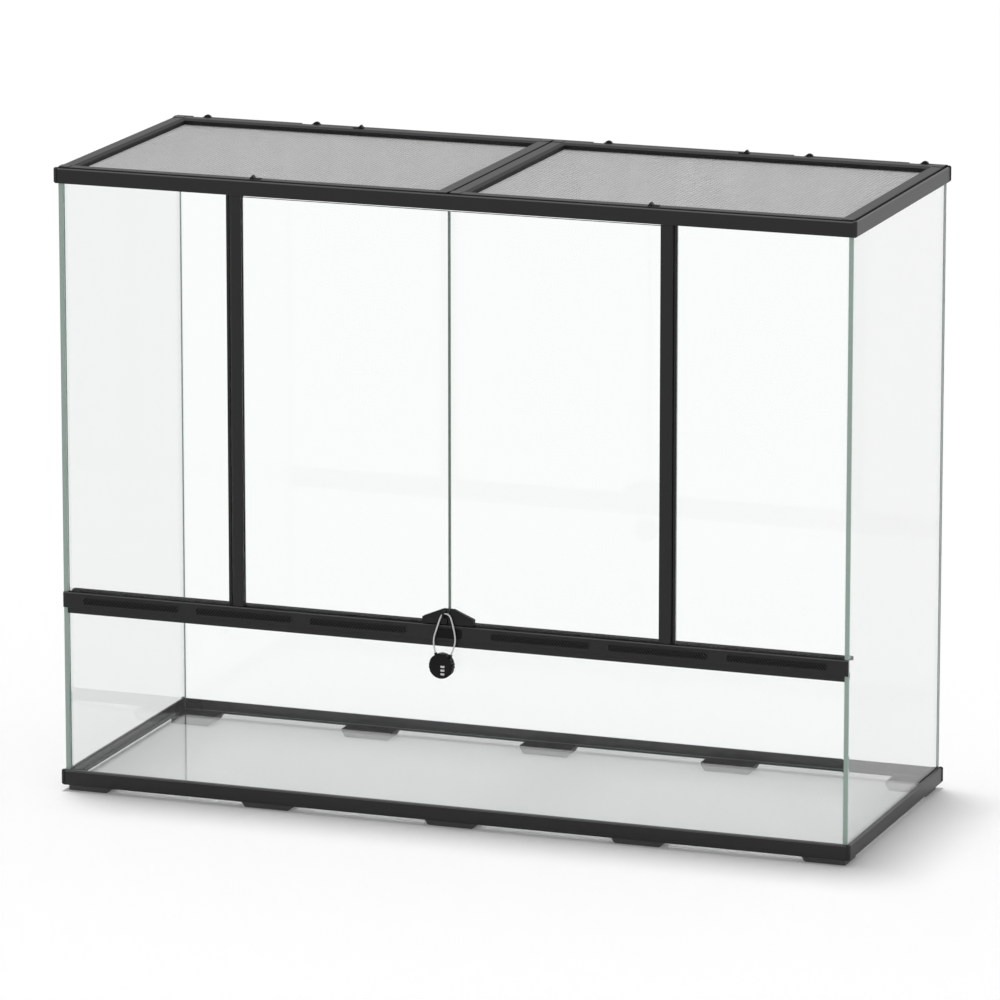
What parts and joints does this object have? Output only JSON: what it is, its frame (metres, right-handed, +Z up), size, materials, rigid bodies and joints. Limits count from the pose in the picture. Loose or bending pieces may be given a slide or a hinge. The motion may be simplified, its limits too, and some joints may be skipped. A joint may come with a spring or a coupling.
{
  "type": "glass terrarium",
  "caption": "Front-opening glass terrarium in black aluminium rails with double doors, a louvred vent bar, lift-out screen lids, cable ports and a cable lock.",
  "frame": {"origin": "on the ground under the middle of the tank", "axes": "+X along the length to the right, +Y from the door front to the rear, +Z up"},
  "size_m": [1.182, 0.4582, 0.9126],
  "materials": {
    "black_rail": "fine matt black anodised",
    "black_plastic": "moulded matt black",
    "tank_glass": "clear float glass",
    "sealant": "clear sealant bead",
    "hinge_seal": "black rubber strip",
    "steel_mesh": "woven wire screen",
    "pivot_steel": "turned steel",
    "bush_plastic": "black bearing plastic",
    "lock_case": "satin black moulding",
    "lock_dials": "white dials with plain numbers",
    "cable_steel": "stranded steel wire in a clear sleeve"
  },
  "bodies": {
    "tank": {"badge_plate": "black_plastic", "base_corner_joiners": "black_plastic", "base_front_rail": "black_rail", "base_left_rail": "black_rail", "base_rear_rail": "black_rail", "base_right_rail": "black_rail", "feet": "black_plastic", "floor_pane": "tank_glass", "hinge_blocks": "black_plastic", "hinge_bushes": "bush_plastic", "hinge_seals": "hinge_seal", "left_fixed_pane": "tank_glass", "left_pane": "tank_glass", "lower_front_pane": "tank_glass", "rear_pane": "tank_glass", "right_fixed_pane": "tank_glass", "right_pane": "tank_glass", "sealant_seams": "sealant", "top_corner_joiners": "black_plastic", "top_crossbar": "black_rail", "top_front_rail": "black_rail", "top_left_rail": "black_rail", "top_rear_rail": "black_rail", "top_right_rail": "black_rail", "vent_bar": "black_rail", "vent_grilles": "black_plastic", "vent_screens": "steel_mesh"},
    "left_door": {"left_door_pane": "tank_glass", "left_hinge_stile": "black_rail", "left_hinge_pins": "pivot_steel", "left_handle": "black_plastic"},
    "right_door": {"right_door_pane": "tank_glass", "right_hinge_stile": "black_rail", "right_hinge_pins": "pivot_steel", "right_handle": "black_plastic"},
    "left_lid": {"left_lid_side_rails": "black_rail", "left_lid_cross_rails": "black_rail", "left_lid_mesh": "steel_mesh", "left_lid_corners": "black_plastic"},
    "right_lid": {"right_lid_side_rails": "black_rail", "right_lid_cross_rails": "black_rail", "right_lid_mesh": "steel_mesh", "right_lid_corners": "black_plastic"},
    "left_lid_front_latch": {"left_lid_front_latch": "black_plastic"},
    "left_lid_rear_latch": {"left_lid_rear_latch": "black_plastic"},
    "right_lid_front_latch": {"right_lid_front_latch": "black_plastic"},
    "right_lid_rear_latch": {"right_lid_rear_latch": "black_plastic"},
    "port_slider_1": {"port_slider_1": "black_plastic"},
    "port_slider_2": {"port_slider_2": "black_plastic"},
    "port_slider_3": {"port_slider_3": "black_plastic"},
    "port_slider_4": {"port_slider_4": "black_plastic"},
    "port_slider_5": {"port_slider_5": "black_plastic"},
    "padlock": {"lock_front_shell": "lock_case", "lock_back_shell": "lock_case", "lock_cable": "cable_steel", "lock_ferrules": "pivot_steel", "lock_axle": "pivot_steel"},
    "lock_dial_upper": {"lock_dial_upper": "lock_dials"},
    "lock_dial_middle": {"lock_dial_middle": "lock_dials"},
    "lock_dial_lower": {"lock_dial_lower": "lock_dials"}
  },
  "joints": [
    {"name": "left_door_swing", "type": "hinge", "parent": "tank", "child": "left_door", "pos_m": [-0.3185, -0.213, 0.5884], "axis": [0, 0, -1], "range_deg": [0, 110]},
    {"name": "right_door_swing", "type": "hinge", "parent": "tank", "child": "right_door", "pos_m": [0.3185, -0.213, 0.5884], "axis": [0, 0, 1], "range_deg": [0, 110]},
    {"name": "left_lid_lift", "type": "slide", "parent": "tank", "child": "left_lid", "axis": [0, 0, 1], "range_m": [0, 0.06]},
    {"name": "right_lid_lift", "type": "slide", "parent": "tank", "child": "right_lid", "axis": [0, 0, 1], "range_m": [0, 0.06]},
    {"name": "left_lid_front_latch_slide", "type": "slide", "parent": "left_lid", "child": "left_lid_front_latch", "axis": [0, 1, 0], "range_m": [-0.003, 0]},
    {"name": "left_lid_rear_latch_slide", "type": "slide", "parent": "left_lid", "child": "left_lid_rear_latch", "axis": [0, -1, 0], "range_m": [-0.003, 0]},
    {"name": "right_lid_front_latch_slide", "type": "slide", "parent": "right_lid", "child": "right_lid_front_latch", "axis": [0, 1, 0], "range_m": [-0.003, 0]},
    {"name": "right_lid_rear_latch_slide", "type": "slide", "parent": "right_lid", "child": "right_lid_rear_latch", "axis": [0, -1, 0], "range_m": [-0.003, 0]},
    {"name": "port_slider_1_slide", "type": "slide", "parent": "tank", "child": "port_slider_1", "axis": [1, 0, 0], "range_m": [-0.0154, 0]},
    {"name": "port_slider_2_slide", "type": "slide", "parent": "tank", "child": "port_slider_2", "axis": [1, 0, 0], "range_m": [-0.0154, 0]},
    {"name": "port_slider_3_slide", "type": "slide", "parent": "tank", "child": "port_slider_3", "axis": [1, 0, 0], "range_m": [-0.0154, 0]},
    {"name": "port_slider_4_slide", "type": "slide", "parent": "tank", "child": "port_slider_4", "axis": [1, 0, 0], "range_m": [-0.0154, 0]},
    {"name": "port_slider_5_slide", "type": "slide", "parent": "tank", "child": "port_slider_5", "axis": [1, 0, 0], "range_m": [-0.0154, 0]},
    {"name": "padlock_swing", "type": "hinge", "parent": "left_door", "child": "padlock", "pos_m": [-0.00515, -0.226, 0.3105], "axis": [-1, 0, 0], "range_deg": [0, 70]},
    {"name": "lock_dial_upper_spin", "type": "hinge", "parent": "padlock", "child": "lock_dial_upper", "pos_m": [-0.00445, -0.227, 0.2361], "axis": [0, 0, 1], "continuous": true},
    {"name": "lock_dial_middle_spin", "type": "hinge", "parent": "padlock", "child": "lock_dial_middle", "pos_m": [-0.00445, -0.227, 0.2307], "axis": [0, 0, 1], "continuous": true},
    {"name": "lock_dial_lower_spin", "type": "hinge", "parent": "padlock", "child": "lock_dial_lower", "pos_m": [-0.00445, -0.227, 0.2253], "axis": [0, 0, 1], "continuous": true}
  ]
}
